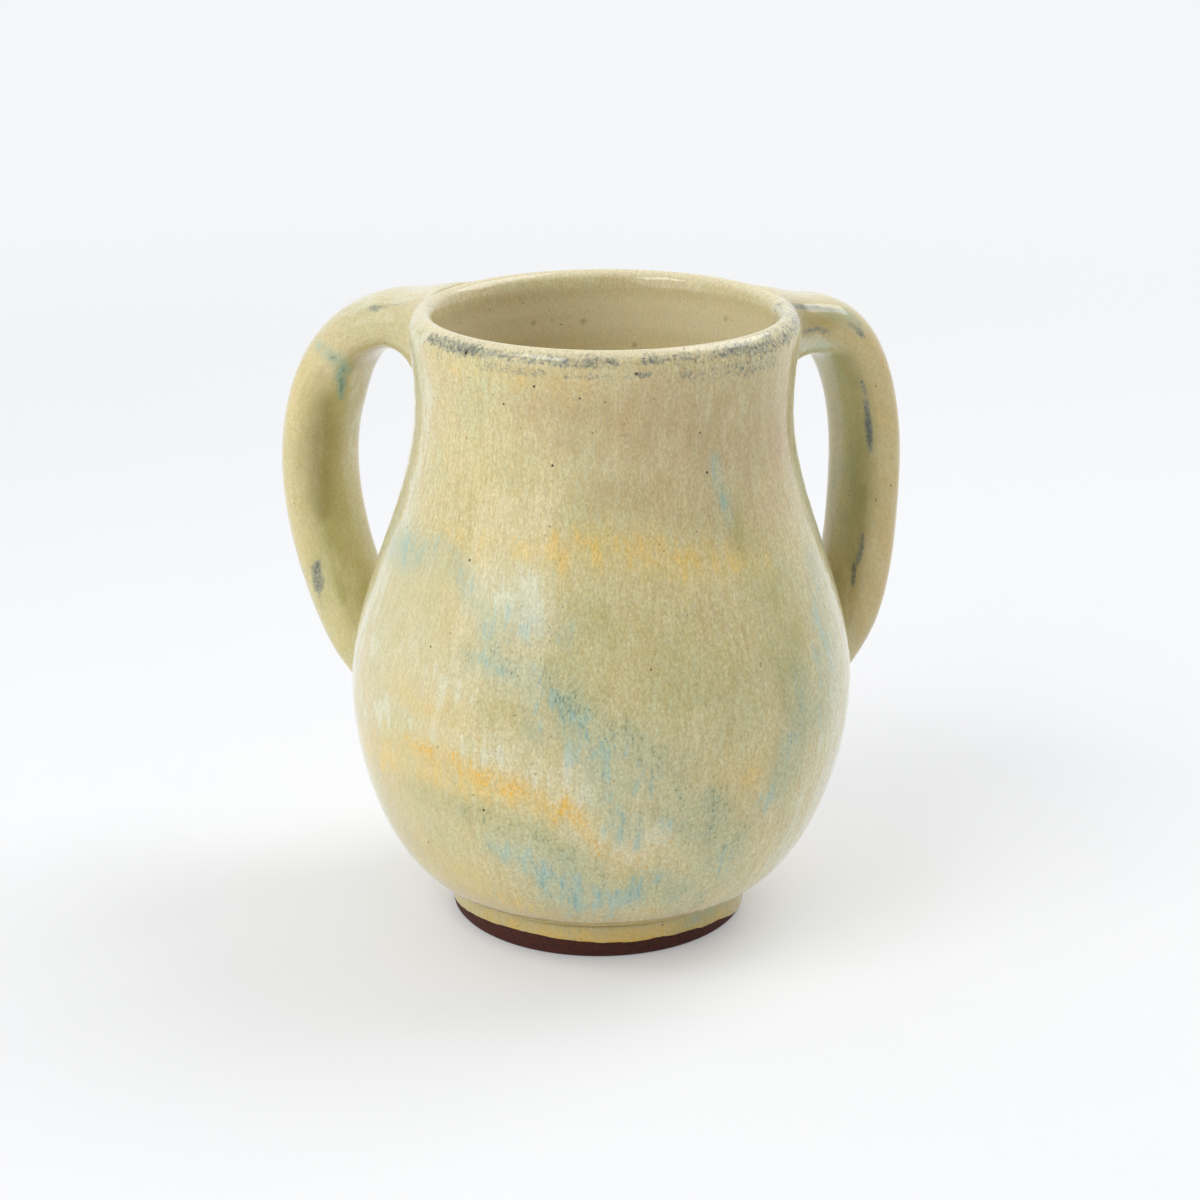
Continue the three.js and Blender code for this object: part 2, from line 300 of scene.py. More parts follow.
BLUE = [
    (0.9, [(-168, 84, 3.5), (-158, 85, 4), (-148, 86, 3.5)]),
    (0.6, [(-146, 89, 2), (-137, 86, 2.5), (-130, 80, 2.5), (-122, 75, 3.5)]),
    (0.5, [(-118, 78, 4), (-106, 77, 3)]),
    (0.7, [(-126, 70, 2), (-112, 67, 3.5), (-110, 58, 3)]),
    (0.85, [(-106, 64, 3.5), (-99, 57, 4.5), (-95, 50, 5), (-94, 44, 4), (-93, 36, 2.5)]),
    (0.55, [(-94, 56, 4), (-86, 48, 5.5), (-78, 42, 6), (-72, 36, 5)]),
    (1.1, [(-88.5, 41, 1.0), (-88.5, 33, 0.9)]),
    (0.95, [(-122, 32, 2.5), (-114, 29, 4), (-108, 24, 6.5), (-102, 20, 6), (-94, 18, 5), (-87, 21, 4)]),
    (0.75, [(-88, 24, 3), (-79, 23, 3.5), (-72, 17, 4)]),
    (0.4, [(-72, 31, 6), (-62, 24, 6)]),
    (0.6, [(-46, 60, 4), (-50, 49, 4), (-55, 39, 4)]),
    (0.55, [(-28, 80, 5), (-32, 66, 6), (-38, 54, 5)]),
    (0.9, [(-63.5, 107, 1.6), (-61.5, 101, 2), (-60.5, 95, 1.5)]),
]
GREEN = [
    (0.7, [(-144, 40, 2.5), (-130, 39, 3), (-118, 37, 3.5), (-108, 34.5, 4), (-101, 29.5, 4)]),
    (0.7, [(-101, 29.5, 4), (-94, 25, 3.5)]),
    (0.8, [(-106, 65, 4), (-98, 60, 5), (-89, 53, 5.5), (-80, 47, 7), (-73, 41, 7), (-65, 32, 5)]),
    (0.7, [(-130, 71, 3), (-118, 70, 4.5), (-106, 67, 5)]),
    (0.65, [(-88, 24, 4), (-78, 21, 4), (-68, 18, 4)]),
    (0.55, [(-50, 64, 6), (-44, 56, 5), (-52, 44, 5)]),
]
PALE = [
    # Paler glaze, partly a painted highlight where the left window reflects on the shoulder
    (0.7, [(-126, 84, 3.5), (-118, 82, 5), (-113, 78, 4)]),
    (0.55, [(-168, 52, 4), (-150, 54, 5), (-136, 55, 4), (-122, 51.5, 4), (-110, 49, 4), (-101, 45, 4)]),
    (0.7, [(-100, 36, 4), (-93, 31, 4), (-84, 34, 4)]),
    (0.5, [(-172, 68, 9), (-146, 66, 8), (-132, 62, 6)]),
    (0.5, [(-116, 30, 4), (-104, 22, 4), (-92, 18, 4)]),
    # Painted reflection on the left end of the lip
    (0.9, [(-178, 127.5, 2.5), (-160, 127.5, 2)]),
    # Painted reflection of the bright room down the far left side of the body
    (0.9, [(-174, 118, 11), (-176, 96, 12), (-180, 70, 10), (-184, 45, 10), (-180, 20, 10)]),
    # Painted reflection of the floor and painted light from the right, low on the right side
    (0.9, [(-24, 60, 9), (-28, 40, 9), (-36, 22, 9)]),
]
TAN = [
    (0.85, [(-112, 118, 8), (-84, 116, 11), (-68, 113, 12), (-48, 110, 12), (-30, 108, 10)]),
    (0.6, [(-98, 103, 6), (-80, 102, 7), (-60, 98, 8), (-44, 96, 7)]),
    (0.5, [(-150, 11, 4), (-120, 11, 5), (-95, 11, 4), (-70, 11, 3)]),
]
OLIVE = [
    (0.9, [(-57, 92, 4), (-50, 80, 7), (-48, 68, 7), (-50, 58, 4)]),
    (0.4, [(-96, 76, 10), (-80, 70, 12), (-66, 62, 10)]),
    (0.5, [(-120, 62, 4), (-108, 58, 5)]),
]
INDIGO = [
    (1.0, [(-158, 128.1, 0.8), (-146, 128.2, 1.1), (-134, 128.2, 1.0)]),
    (0.65, [(-134, 128.2, 0.8), (-122, 128.2, 0.8), (-108, 128.3, 0.8)]),
    (1.0, [(-109, 128.2, 0.8), (-101, 128.1, 1.1), (-94, 128.2, 0.8)]),
    (0.45, [(-94, 128.2, 0.6), (-85, 128.3, 0.7)]),
    (0.85, [(-86, 128.3, 0.8), (-70, 128.3, 0.9), (-56, 128.2, 1.1)]),
    (1.0, [(-56, 128.2, 1.1), (-44, 127.8, 1.6), (-32, 127.8, 1.3)]),
    (0.5, [(-32, 128.3, 1.3), (-18, 128.8, 1.5), (2, 129, 1.2)]),
    (0.5, [(-134, 126.0, 1.0), (-114, 125.8, 0.8)]),
    (0.65, [(-108, 125.5, 0.45), (-94, 125.6, 0.5)]),
    (0.9, [(-91, 125.6, 0.5), (-85, 125.7, 0.6)]),
    (0.4, [(-76, 125, 1.4), (-60, 124.6, 1.8), (-40, 125, 1.8)]),
    (0.9, [(-152, 126.2, 0.4), (-151.8, 124.6, 0.35)]),
]


def stroke(across, up, points, scale):
    """How deep spots lie in a stroke: 1 along its middle, a half at its half width, then 0."""
    points = np.array(points, float)
    depth = np.zeros(across.shape)
    for (a0, u0, w0), (a1, u1, w1) in zip(points, points[1:]):
        x = ((across - a0 + 180) % 360 - 180) * scale
        y = up - u0
        along = np.array([(a1 - a0) * scale, u1 - u0])
        t = np.clip((x * along[0] + y * along[1]) / (along @ along), 0, 1)
        distance = np.hypot(x - t * along[0], y - t * along[1])
        depth = np.maximum(depth, smooth(distance / (w0 + t * (w1 - w0)), 1.9, 0.1))
    return depth


def paint(across, up, strokes, scale=BODY_SCALE):
    painted = np.zeros(across.shape)
    for strength, points in strokes:
        painted = np.maximum(painted, strength * stroke(across, up, points, scale))
    return painted


def ragged(across, amount):
    """Heights that go up and down in teeth round the cup, as where thick glaze has run."""
    teeth = np.random.default_rng(5).normal(0, amount, 200)
    return np.interp(across, np.linspace(-180, 180, 200, endpoint=False), teeth, period=360)


def turned(strokes, by, lift=0.0):
    """The same strokes and, further round the cup, a copy of each."""
    return strokes + [(s, [(a + by, h + lift, w) for a, h, w in points]) for s, points in strokes]


class Shader:
    """Short names for the nodes that a material or the world is made of."""

    def __init__(self, owner):
        owner.use_nodes = True
        self.tree = owner.node_tree
        self.tree.nodes.clear()
        self.paints = {}
        self.uneven = 1.0
        self.contrast = 1.0

    def node(self, kind, inputs=None, **settings):
        made = self.tree.nodes.new("ShaderNode" + kind)
        for key, value in settings.items():
            setattr(made, key, value)
        for key, value in (inputs or {}).items():
            socket = made.inputs[key]
            if isinstance(value, bpy.types.NodeSocket):
                self.tree.links.new(value, socket)
            else:
                socket.default_value = value
        return made

    def value(self, name):
        return self.node("Attribute", attribute_name=name).outputs["Fac"]

    def math(self, operation, a, b=0.0):
        return self.node("Math", {0: a, 1: b}, operation=operation).outputs[0]

    def stretch(self, vector, amounts):
        inputs = {0: vector, 1: amounts}
        return self.node("VectorMath", inputs, operation="MULTIPLY").outputs[0]

    def noise(self, vector, scale, detail=3.0, roughness=0.55, distortion=0.0):
        inputs = {"Vector": vector, "Scale": scale, "Detail": detail}
        inputs.update({"Roughness": roughness, "Distortion": distortion})
        return self.node("TexNoise", inputs).outputs["Fac"]

    def between(self, value, low, high, bottom=0.0, top=1.0):
        inputs = {"Value": value, "From Min": low, "From Max": high, "To Min": bottom, "To Max": top}
        return self.node("MapRange", inputs, interpolation_type="SMOOTHSTEP").outputs[0]

    def mix(self, share, under, over):
        return self.node("Mix", {0: share, 6: under, 7: over}, data_type="RGBA").outputs[2]

    def seen_directly(self):
        """1 for what the camera sees itself, in a gloss or through glass, and 0 for other light."""
        path = self.node("LightPath").outputs
        seen = self.math("MAXIMUM", path["Is Camera Ray"], path["Is Glossy Ray"])
        return self.math("MAXIMUM", seen, path["Is Transmission Ray"])

    def dabs(self, place, marks, inset, core, under=0.0):
        """Adds round marks, each fading from its core to its rim, to what is under them."""
        for azimuth, height, size in marks:
            centre = around_axis(wall_radius(height) - inset, np.radians(azimuth), height)
            inputs = {0: place, 1: tuple(lean(centre[None])[0])}
            gap = self.node("VectorMath", inputs, operation="DISTANCE").outputs["Value"]
            under = self.math("MAXIMUM", under, self.between(gap, size, size * core))
        return under

    def paint(self, name):
        """A painted colour, thicker in some places than in others."""
        if name not in self.paints:
            self.paints[name] = self.math("MULTIPLY", self.value(name), self.uneven)
        return self.paints[name]

    def wash(self, name, amount):
        """A painted colour laid on thinly."""
        return self.math("MINIMUM", self.math("MULTIPLY", self.paint(name), amount), 1.0)

    def broken(self, name, noise, spread, level, soft, amount):
        """A painted colour with its edge broken up by noise: at a low level the colour is nearly
        solid, and at a level above 1 only flecks of it are left."""
        moved = self.math("MULTIPLY", self.math("SUBTRACT", noise, 0.5), spread)
        moved = self.math("MULTIPLY", moved, self.contrast)
        painted = self.paint(name)
        depth = self.between(self.math("ADD", painted, moved), level - soft, level + soft)
        near = self.between(painted, 0.0, 0.2)
        return self.math("MULTIPLY", self.math("MULTIPLY", depth, near), amount)


def srgb(red, green, blue):
    """A colour as seen on a screen, 0 to 255, as the linear one that shaders take."""
    c = np.array([red, green, blue]) / 255
    linear = np.where(c <= 0.04045, c / 12.92, ((c + 0.055) / 1.055) ** 2.4)
    return (*linear.tolist(), 1.0)


CREAM = srgb(226, 216, 172)
MINT = srgb(214, 215, 172)
TAN_BASE = srgb(205, 187, 131)
SMEAR = srgb(186, 160, 108)
PINK_TAN = srgb(192, 164, 118)
KHAKI = srgb(178, 170, 104)
OCHRE_GLAZE = srgb(234, 202, 118)
AMBER_GLAZE = srgb(234, 184, 72)
WHITE_GLAZE_AND_REFLECTION = srgb(228, 229, 204)
BLUE_WASH = srgb(174, 190, 166)
PALE_BLUE = srgb(160, 194, 184)
DEEP_BLUE = srgb(118, 166, 170)
SAGE = srgb(166, 172, 126)
TEAL = srgb(96, 130, 108)
INDIGO_WASH = srgb(116, 128, 124)
INDIGO_GLAZE = srgb(50, 58, 72)
SHADE_GLAZE = srgb(128, 110, 52)
CREST_GLAZE_AND_LIGHT = srgb(234, 224, 188)
IRON = srgb(46, 32, 22)
CLAY = srgb(82, 26, 4)
CLAY_DARK = srgb(42, 12, 1)

# Iron spots in the front of the wall: azimuth, height, radius
IRON_SPOTS = [
    (-111.8, 107.5, 0.34),
    (-66.2, 105.0, 0.36),
    (-68.7, 113.1, 0.26),
    (-104.0, 121.1, 0.28),
    (-117.0, 123.0, 0.34),
    (-134.0, 87.5, 0.34),
    (-123.5, 39.6, 0.4),
    (-140.3, 70.0, 0.3),
    (-44.0, 16.0, 0.36),
    (-88.5, 126.0, 0.4),
    (-139.5, 127.6, 0.5),
]

# Faint brown stains on the inside below the lip: azimuth, height, radius
STAINS = [
    (94.4, 122.8, 0.9),
    (90.6, 119.2, 1.1),
    (109.3, 119.6, 1.0),
    (82.8, 122.9, 0.7),
    (57.5, 124.6, 0.8),
    (35.2, 122.3, 1.2),
    (72.0, 114.1, 0.9),
    (102.0, 119.9, 0.8),
    (102.6, 124.7, 0.8),
]


def glaze(name):
    """Cream glaze that ran: mottled along its flow, with painted pools of other colours, painted light
    and painted shade.
    """
    material = bpy.data.materials.new(name)
    s = Shader(material)
    flow = s.node("Attribute", attribute_name="flow").outputs["Vector"]
    place = s.stretch(s.node("TexCoord").outputs["Object"], (1000, 1000, 1000))
    grain = s.noise(s.stretch(flow, (1, 1, 0.55)), 1.6, 4, 0.7, 0.5)
    fleck = s.noise(s.stretch(flow, (1, 1, 0.4)), 0.8, 4, 0.65)
    streak = s.noise(s.stretch(flow, (1, 1, 0.17)), 0.8, 4, 0.62)
    thread = s.noise(s.stretch(flow, (1, 1, 0.22)), 1.2, 3, 0.65)
    drip = s.noise(s.stretch(flow, (1, 1, 0.22)), 0.5, 4, 0.6)
    fine = s.noise(s.stretch(flow, (1, 1, 0.7)), 1.8, 5, 0.8)
    cloud = s.noise(s.stretch(flow, (1, 1, 0.7)), 0.09, 3, 0.55)
    patch = s.noise(s.stretch(flow, (1, 1, 0.6)), 0.2, 3, 0.6)
    s.uneven = s.between(patch, 0.32, 0.68, 0.55, 1.3)
    s.contrast = s.math("SUBTRACT", 1.0, s.math("MULTIPLY", s.value("calm"), 0.8))

    colour = s.mix(s.between(cloud, 0.4, 0.62), CREAM, MINT)
    mottle = s.math("ADD", s.math("MULTIPLY", grain, 0.5), s.math("MULTIPLY", streak, 0.2))
    mottle = s.math("ADD", mottle, s.math("MULTIPLY", fleck, 0.3))
    uneven = s.math("MULTIPLY", s.math("SUBTRACT", s.between(mottle, 0.42, 0.58), 0.5), s.contrast)
    colour = s.mix(s.math("ADD", s.math("MULTIPLY", uneven, 0.75), 0.5), colour, TAN_BASE)
    smear = s.noise(s.stretch(flow, (1, 1, 0.3)), 0.4, 4, 0.65)
    smear = s.math("MULTIPLY", s.between(smear, 0.52, 0.72, 0, 0.4), s.contrast)
    colour = s.mix(smear, colour, SMEAR)
    colour = s.mix(s.wash("tan", 0.65), colour, PINK_TAN)
    colour = s.mix(s.wash("olive", 0.6), colour, KHAKI)
    colour = s.mix(s.wash("ochre", 0.45), colour, OCHRE_GLAZE)
    colour = s.mix(s.broken("ochre", drip, 3.5, 0.75, 0.12, 0.45), colour, OCHRE_GLAZE)
    # White glaze drips, and painted reflection and painted light where the pale strokes put them on the
    # sides, the lip and the right handle's root
    colour = s.mix(s.wash("pale", 0.3), colour, WHITE_GLAZE_AND_REFLECTION)
    colour = s.mix(s.broken("pale", drip, 3.5, 0.65, 0.1, 0.45), colour, WHITE_GLAZE_AND_REFLECTION)
    colour = s.mix(s.wash("amber", 0.2), colour, AMBER_GLAZE)
    colour = s.mix(s.broken("amber", grain, 6.0, 1.2, 0.15, 0.75), colour, AMBER_GLAZE)
    colour = s.mix(s.wash("green", 0.45), colour, SAGE)
    colour = s.mix(s.wash("blue", 0.55), colour, BLUE_WASH)
    colour = s.mix(s.broken("blue", drip, 5.5, 0.95, 0.15, 0.45), colour, PALE_BLUE)
    colour = s.mix(s.broken("blue", thread, 6.0, 1.4, 0.15, 0.45), colour, DEEP_BLUE)
    colour = s.mix(s.broken("green", grain, 6.0, 1.2, 0.15, 0.5), colour, TEAL)

    # Painted shade from the shade attribute: in the crease above the foot and in the foot's cove, over
    # glaze that pooled there, and on the undersides and roots of the handles
    colour = s.mix(s.value("shade"), colour, SHADE_GLAZE)
    # Paler glaze on the outside of the lip's crest; inside the cup the crest attribute is painted light,
    # and on the handles a painted highlight
    colour = s.mix(s.value("crest"), colour, CREST_GLAZE_AND_LIGHT)
    speckle = s.noise(place, 1.3, 3, 0.6)
    colour = s.mix(s.broken("indigo", speckle, 3.0, 0.5, 0.4, 0.6), colour, INDIGO_WASH)
    colour = s.mix(s.broken("indigo", speckle, 6.0, 1.2, 0.3, 0.55), colour, INDIGO_GLAZE)
    level = s.math("MULTIPLY", s.between(fine, 0.3, 0.7, -0.24, 0.18), s.contrast)
    level = s.math("ADD", level, 1.0)
    colour = s.node("VectorMath", {0: colour, "Scale": level}, operation="SCALE").outputs[0]

    dots = s.between(s.noise(place, 1.2, 0, 0.5), 0.82, 0.88)
    colour = s.mix(s.math("MULTIPLY", dots, 0.5), colour, IRON)
    spots = s.between(s.noise(place, 0.4, 0, 0.5), 0.93, 0.94)
    spots = s.dabs(place, IRON_SPOTS, 0.0, 0.6, spots)
    colour = s.mix(s.math("MULTIPLY", spots, 0.9), colour, IRON)

    stains = s.dabs(place, STAINS, WALL, 0.2)
    colour = s.mix(s.math("MULTIPLY", stains, 0.45), colour, SHADE_GLAZE)

    bare_edge = s.math("MULTIPLY", s.math("SUBTRACT", s.noise(place, 0.5, 3), 0.5), 0.5)
    bare = s.between(s.math("ADD", s.value("bare"), bare_edge), 0.46, 0.54)
    clay = s.mix(s.between(s.noise(place, 1.4, 5, 0.7), 0.35, 0.7), CLAY, CLAY_DARK)
    colour = s.mix(bare, colour, clay)

    wave = s.math("MULTIPLY", s.noise(place, 0.3, 2), 0.25)
    peel = s.math("MULTIPLY", s.noise(place, 1.1, 2), 0.03)
    grit = s.math("MULTIPLY", s.math("MULTIPLY", s.noise(place, 3.0, 2, 0.6), bare), 0.25)
    height = s.math("ADD", s.math("ADD", wave, peel), grit)
    height = s.math("SUBTRACT", height, s.math("MULTIPLY", spots, 0.1))
    bump = s.node("Bump", {"Height": height, "Distance": MM, "Strength": 0.35}).outputs[0]
    rough = s.math("ADD", s.between(grain, 0.4, 0.7, 0.1, 0.15), s.math("MULTIPLY", bare, 0.65))
    inputs = {"Base Color": colour, "Roughness": rough, "Normal": bump, "IOR": 1.5}
    s.node("OutputMaterial", {0: s.node("BsdfPrincipled", inputs).outputs[0]})
    return material


def body():
    """The thrown wall, floor and lip, turned as one closed skin."""
    under = np.array([[radius, FOOT_HEIGHT] for radius in (CLOSING_RADIUS, 10, 20, 28)])
    outside = len(under) + len(OUTER)
    profile = np.vstack([under, OUTER, inner_profile()])
    azimuth = np.linspace(-180, 180, AROUND, endpoint=False)
    rows = len(profile)
    radius = np.repeat(profile[:, 0], AROUND)
    height = np.repeat(profile[:, 1], AROUND)
    across = np.tile(azimuth, rows)
    angle = np.radians(across)
    row = np.repeat(np.arange(rows), AROUND)
    inside = smooth(row, outside + 2, outside + 12)
    wobble = OUT_OF_ROUND * np.sin(2 * angle + 0.7) + THIRD_WAVE * np.sin(3 * angle + height / 30)
    rings = RING_DEPTH * np.sin(2 * np.pi * height / RING_PITCH + angle) * (1 + 1.5 * inside)
    fade = smooth(height, FOOT_HEIGHT, 20) * smooth(radius, 5, 20)
    radius = radius + (wobble + rings) * fade
    points = around_axis(radius, angle, height)
    faces = closed_faces(rows, AROUND)
    piece = make_piece("glazed_body", points, faces, GLAZE, "body_glaze", "cup_body")
    outer = 1 - inside
    along = np.concatenate([[0], np.cumsum(np.hypot(*np.diff(profile, axis=0).T))])
    run = np.repeat(along, AROUND)
    flow = around_axis(BELLY_RADIUS, angle, run)
    # The crease above the foot: darker glaze pooled there, deepened with painted shade
    pooled = smooth(height, FOOT_HEIGHT + 1.6, FOOT_HEIGHT + 0.2) * outer
    toothed = height + ragged(across, 1.4)
    # Painted light on the inside of the cup, lighter towards the lip; the crest attribute carries it
    painted_light_near_lip = 0.1 + 0.84 * smooth(height, 102, 124)
    crest = 0.75 * smooth(height, LIP_ROUND_FROM + 1.6, LIP_ROUND_FROM + 3) * outer
    calm = 0.15 + 0.45 * smooth(across, -115, -145) * smooth(height, 95, 80)
    add_values(
        piece,
        flow=flow,
        ochre=np.maximum(paint(across, toothed, turned(OCHRE, 168, 2)) * outer, 0.85 * inside),
        amber=paint(across, toothed, turned(AMBER, 168, 2)) * outer,
        blue=paint(across, height, turned(BLUE, 160, -3)) * outer,
        green=paint(across, height, turned(GREEN, 160, -2)) * outer,
        pale=paint(across, toothed, turned(PALE, 164)) * outer,
        tan=paint(across, height, turned(TAN, 172)) * outer,
        olive=np.maximum(paint(across, height, turned(OLIVE, 176)) * outer, 0.45 * inside),
        indigo=paint(across, height, INDIGO) * outer,
        shade=0.65 * pooled,
        crest=np.maximum(crest, painted_light_near_lip * inside),
        calm=np.maximum(calm, 0.7 * inside),
        bare=np.zeros(len(points)),
    )


def foot():
    """The foot ring: bare clay where it stands, glazed above and coved out under the body."""
    seat = FOOT_SEAT_RADIUS
    inside_radius = seat - FOOT_SEAT_WIDTH
    cove_angle = np.radians(np.linspace(180, 97, 12))
    cove_centre = np.array([FOOT_WAIST_RADIUS + FOOT_COVE, FOOT_WAIST_HEIGHT])
    cove = cove_centre + FOOT_COVE * np.stack([np.cos(cove_angle), np.sin(cove_angle)], 1)
    side = bezier((seat + 0.9, 0.9), (FOOT_RADIUS + 0.3, 2.4), (FOOT_WAIST_RADIUS, 5), cove[0], 14)
    edge = bezier((seat - 0.6, 0), (seat, 0), (seat + 0.5, 0.3), side[0], 6)
    flat = bezier((inside_radius + 0.7, 0), (inside_radius + 1.5, 0), edge[0] - (1, 0), edge[0], 6)
    top_inside = inside_radius - FOOT_INSIDE_SLOPE
    hollow = [
        [top_inside, cove[-1][1]],
        [top_inside + 0.5, 4],
        [inside_radius - 0.2, 1],
        [inside_radius, 0.4],
    ]
    profile = np.vstack([flat, edge[1:], side[1:], cove[1:], hollow])
    rows = len(profile)
    across = np.tile(np.linspace(-180, 180, AROUND, endpoint=False), rows)
    angle = np.radians(across)
    radius = np.repeat(profile[:, 0], AROUND)
    height = np.repeat(profile[:, 1], AROUND)
    points = around_axis(radius, angle, height)
    faces = grid_faces(rows + 1, AROUND)
    faces = [tuple(i % (rows * AROUND) for i in face) for face in faces]
    piece = make_piece("glazed_foot", points, faces, GLAZE, "bare_clay", "foot_ring")
    outside = radius > seat - 0.1
    azimuth, level = np.array(CLAY_LINE).T
    line = np.interp(across, azimuth, level, period=360)
    line = line + 0.08 * np.sin(9 * angle) + 0.05 * np.sin(23 * angle)
    bare = np.where(outside, smooth(height, line + 0.25, line - 0.25), 1.0)
    flow = around_axis(BELLY_RADIUS, angle, height)
    zero = np.zeros(len(points))
    front = smooth(np.abs((across + 85 + 180) % 360 - 180), 75, 15)
    add_values(
        piece,
        flow=flow,
        ochre=1.3 * smooth(height, line + 4.5, line + 1) * (0.4 + 0.6 * front),
        amber=1.1 * smooth(height, line + 0.9, line + 0.3) * front,
        blue=0.7 * paint(across, height, [(1, [(-62, 5, 1), (-48, 6, 2)])]),
        green=0.5 * paint(across, height, [(1, [(-66, 5, 2), (-46, 6, 2)])]),
        pale=zero,
        tan=0.1 + zero,
        olive=0.3 + zero,
        indigo=zero,
        # Darker glaze pooled in the cove under the belly, deepened with painted shade
        shade=0.5 * smooth(height, FOOT_WAIST_HEIGHT + 0.2, FOOT_HEIGHT - 0.5),
        calm=0.5 + zero,
        crest=zero,
        bare=bare,
    )


def handle_line(shape):
    """The middle line of a handle, as distance out and height, with its ends run into the wall."""
    slope = np.radians(HANDLE_UPPER_SLOPE)
    top = np.array([HANDLE_UPPER_OUT, HANDLE_UPPER_HEIGHT])
    widest = np.array([shape["reach"], HANDLE_WIDEST_HEIGHT])
    pull = HANDLE_UPPER_PULL * (widest[0] - top[0])
    first = bezier(
        top,
        top + pull * np.array([np.cos(slope), -np.sin(slope)]),
        widest + (0, HANDLE_WIDEST_PULL_UP),
        widest,
        80,
    )
    steep = np.radians(shape["slope"])
    down = np.array([-np.cos(steep), -np.sin(steep)])
    standoff = shape["thickness"] / 2 * np.sin(steep) + HANDLE_LOWER_CLEARANCE
    bottom = np.array([wall_radius(shape["height"]) + standoff, shape["height"]])
    second = bezier(
        widest,
        widest - (0, HANDLE_WIDEST_PULL_DOWN),
        bottom - HANDLE_LOWER_PULL * down,
        bottom,
        80,
    )
    way = np.linspace(HANDLE_ROOT_DEPTH, 0.3, 80)[:, None]
    rise = np.tan(slope) * way - HANDLE_UPPER_DROP * (way / HANDLE_ROOT_LENGTH) ** 2
    before = top + np.hstack([-way, rise])
    way = way[::-1]
    length = standoff / np.cos(steep)
    inwards = np.array([-np.sin(steep), np.cos(steep)])
    after = bottom + way * down + HANDLE_LOWER_BEND * (way / length) ** 2 * inwards
    return np.vstack([before, first, second[1:], after])


def handle_grid(shape):
    """A pulled strap of oval section, its ends spread smoothly onto the wall, as rows of points
    round it. Also returns the angle round the strap of each point of a row, in degrees."""
    line = handle_line(shape)
    steps = np.hypot(*np.diff(line, axis=0).T)
    at = np.concatenate([[0], np.cumsum(steps)])
    tangent = np.gradient(line, at, axis=0)
    tangent /= np.linalg.norm(tangent, axis=1, keepdims=True)
    half_width, half_thickness = HANDLE_WIDTH / 2, shape["thickness"] / 2
    turn = np.radians(shape["azimuth"])

    def section(angle):
        """Across the handle and through it, on an oval a little squarer than an ellipse."""
        c, s = np.cos(angle), np.sin(angle)
        power = 2 / HANDLE_SQUARENESS
        across = half_width * np.sign(c) * np.abs(c) ** power
        through = half_thickness * np.sign(s) * np.abs(s) ** power
        return across, through

    def spot(distance, angle):
        """A point of the strap in the handle's own plane: out from the axis, across, up."""
        out = np.interp(distance, at, line[:, 0])
        up = np.interp(distance, at, line[:, 1])
        t_out = np.interp(distance, at, tangent[:, 0])
        t_up = np.interp(distance, at, tangent[:, 1])
        across, through = section(angle)
        thinning = shape["thin"] * smooth(distance, HANDLE_THIN_FROM, HANDLE_THIN_FULL)
        through = through * (1 - thinning * (through < 0))
        return np.array([out - t_up * through, across + 0 * out, up + t_out * through])

    def on_wall(point, sink=0.0):
        """The place on the wall that a point lies over, or a little below its surface."""
        height = np.clip(point[2], FOOT_HEIGHT, CUP_HEIGHT - 0.05)
        return around_axis(wall_radius(height) - sink, np.arctan2(point[1], point[0]), height)

    def plug(ring):
        """Rows that close an end of the strap inside the wall, which is hollow and round there."""
        middle = ring.mean(0)
        rows = []
        for share in (0.96, 0.64, 0.32, 0.05):
            inner = middle + (ring - middle) * share
            inner[:, 2] = np.minimum(inner[:, 2], CUP_HEIGHT - LIP_ROUND_HEIGHT * (2 - share))
            rows.append([on_wall(point, HANDLE_PLUG_DEPTH) for point in inner])
        return np.array(rows).transpose(1, 0, 2)

    around, blend_steps, strap_steps = 72, 14, 120
    rows_upper, rows_strap, rows_lower, ends = [], [], [], []
    angles = np.linspace(0, 2 * np.pi, around, endpoint=False)
    middle = at[len(at) // 2]
    for angle in angles:
        outward, sideways = np.sin(angle), np.cos(angle)
        under = max(-outward, 0)
        over = max(outward, 0)
        fine = np.linspace(0, at[-1], 2400)
        p = spot(fine, angle)
        clear = np.hypot(p[0], p[1]) - wall_radius(np.minimum(p[2], CUP_HEIGHT))
        upper_hit = fine[(clear < 0) & (fine < middle)].max()
        lower_hit = fine[(clear < 0) & (fine > middle)].min()
        cross = np.array(section(angle))
        cross /= np.linalg.norm(cross)
        index = np.argmin(np.abs(at - lower_hit))
        t = tangent[index]
        outwards = np.array([-t[1] * cross[1], cross[0], t[0] * cross[1]])
        upper_shift = np.array([0, 5 * sideways, 4 * over - shape["web"] * under**0.7])
        lower_shift = outwards * (1.6 * abs(sideways) + 2.5 * under + 3 * over)
        for side, hit, back, shift, lift in (
            (-1, upper_hit, 8 + 0.3 * shape["web"] * under - 2 * over, upper_shift, 1.2 * over),
            (1, lower_hit, 5 + 4 * over, lower_shift, 0),
        ):
            start = hit - side * back
            landing = spot(hit, angle)
            raised = np.array([0, 0, lift])
            b0, b1 = spot(start, angle), spot(start + side * back * 0.6, angle) + raised * 0.6
            b2 = on_wall(landing + shift * 0.4) + raised
            b3 = on_wall(landing + shift, HANDLE_SINK)
            curve = bezier(b0, b1, b2, b3, blend_steps)
            (rows_upper if side < 0 else rows_lower).append(curve)
            ends.append(start)
        strap = np.linspace(ends[-2], ends[-1], strap_steps)
        rows_strap.append(spot(strap, angle).T)
    upper = np.array(rows_upper)[:, ::-1]
    strap = np.array(rows_strap)[:, 1:-1]
    lower = np.array(rows_lower)
    first, last = plug(upper[:, 0])[:, ::-1], plug(lower[:, -1])
    grid = np.concatenate([first, upper, strap, lower, last], axis=1).transpose(1, 0, 2)
    out, across, up = grid.transpose(2, 0, 1)
    x = out * np.cos(turn) - across * np.sin(turn)
    y = out * np.sin(turn) + across * np.cos(turn)
    return np.stack([x, y, up], -1), np.degrees(angles)


